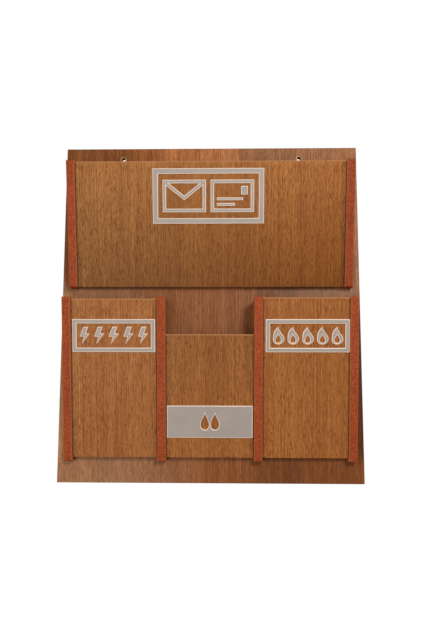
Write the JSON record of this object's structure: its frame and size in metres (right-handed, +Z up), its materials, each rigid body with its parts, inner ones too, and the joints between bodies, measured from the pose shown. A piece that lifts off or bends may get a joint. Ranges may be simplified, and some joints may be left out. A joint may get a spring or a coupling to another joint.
{
  "type": "mail organizer",
  "caption": "Wall-hung wooden mail rack: a wide top pocket above narrow lower pockets, with stained wedge cheeks, veneered fronts, silver label frames and brass hanging eyelets.",
  "frame": {"origin": "on the wall plane at the back of the board, midway between the two hanging eyelets", "axes": "+Z up, +Y into the wall, so the pockets face -Y, and +X to the right seen from the front"},
  "size_m": [0.4, 0.0598, 0.453],
  "materials": {
    "board_veneer": "satin brown veneer with straight upright grain",
    "front_veneer": "satin orange-brown veneer with fine upright pores",
    "stained_cheek": "terracotta-stained fibreboard",
    "floor_batten": "plain sawn batten",
    "silver_label": "warm silver satin sheet",
    "eyelet_brass": "polished",
    "screw_steel": "zinc plated"
  },
  "bodies": {
    "root": {"back_board": "board_veneer", "top_left_cheek": "stained_cheek", "top_right_cheek": "stained_cheek", "lower_outer_left_cheek": "stained_cheek", "lower_inner_left_cheek": "stained_cheek", "lower_inner_right_cheek": "stained_cheek", "lower_outer_right_cheek": "stained_cheek", "top_front_panel": "front_veneer", "left_front_panel": "front_veneer", "centre_front_panel": "front_veneer", "right_front_panel": "front_veneer", "top_pocket_floor": "floor_batten", "left_pocket_floor": "floor_batten", "centre_pocket_floor": "floor_batten", "right_pocket_floor": "floor_batten", "top_label_frame": "silver_label", "left_label_frame": "silver_label", "right_label_frame": "silver_label", "centre_label_plate": "silver_label", "left_hanging_eyelet": "eyelet_brass", "right_hanging_eyelet": "eyelet_brass", "cheek_screws": "screw_steel"}
  },
  "joints": []
}
